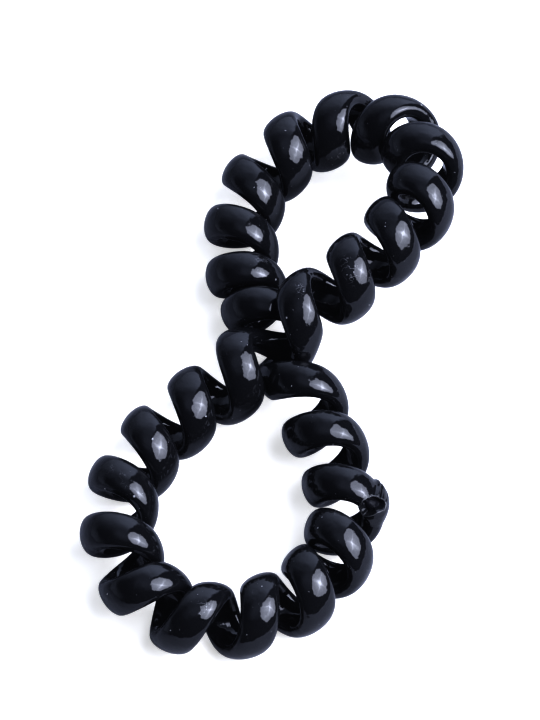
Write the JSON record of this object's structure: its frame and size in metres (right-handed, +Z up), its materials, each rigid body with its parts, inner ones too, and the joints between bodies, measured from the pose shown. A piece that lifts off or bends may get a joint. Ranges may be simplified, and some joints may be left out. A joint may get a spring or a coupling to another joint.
{
  "type": "spiral hair tie",
  "caption": "Coiled plastic cord closed into a stretchy ring, lying twisted once into a figure eight, for holding a ponytail or a bun.",
  "frame": {"origin": "middle of the surface that the ring lies on, under the middle of its box", "axes": "+Z up from that surface, +Y along the figure eight towards its smaller, raised loop, +X across it"},
  "size_m": [0.0388, 0.0846, 0.0188],
  "materials": {
    "cord_plastic": "glossy soft black plastic with fine dust and scuffs",
    "joint_plastic": "the same black plastic, moulded over, a little less smooth, with a thin flash line"
  },
  "bodies": {
    "root": {"coiled_cord": "cord_plastic", "moulded_joint": "joint_plastic"}
  },
  "joints": []
}
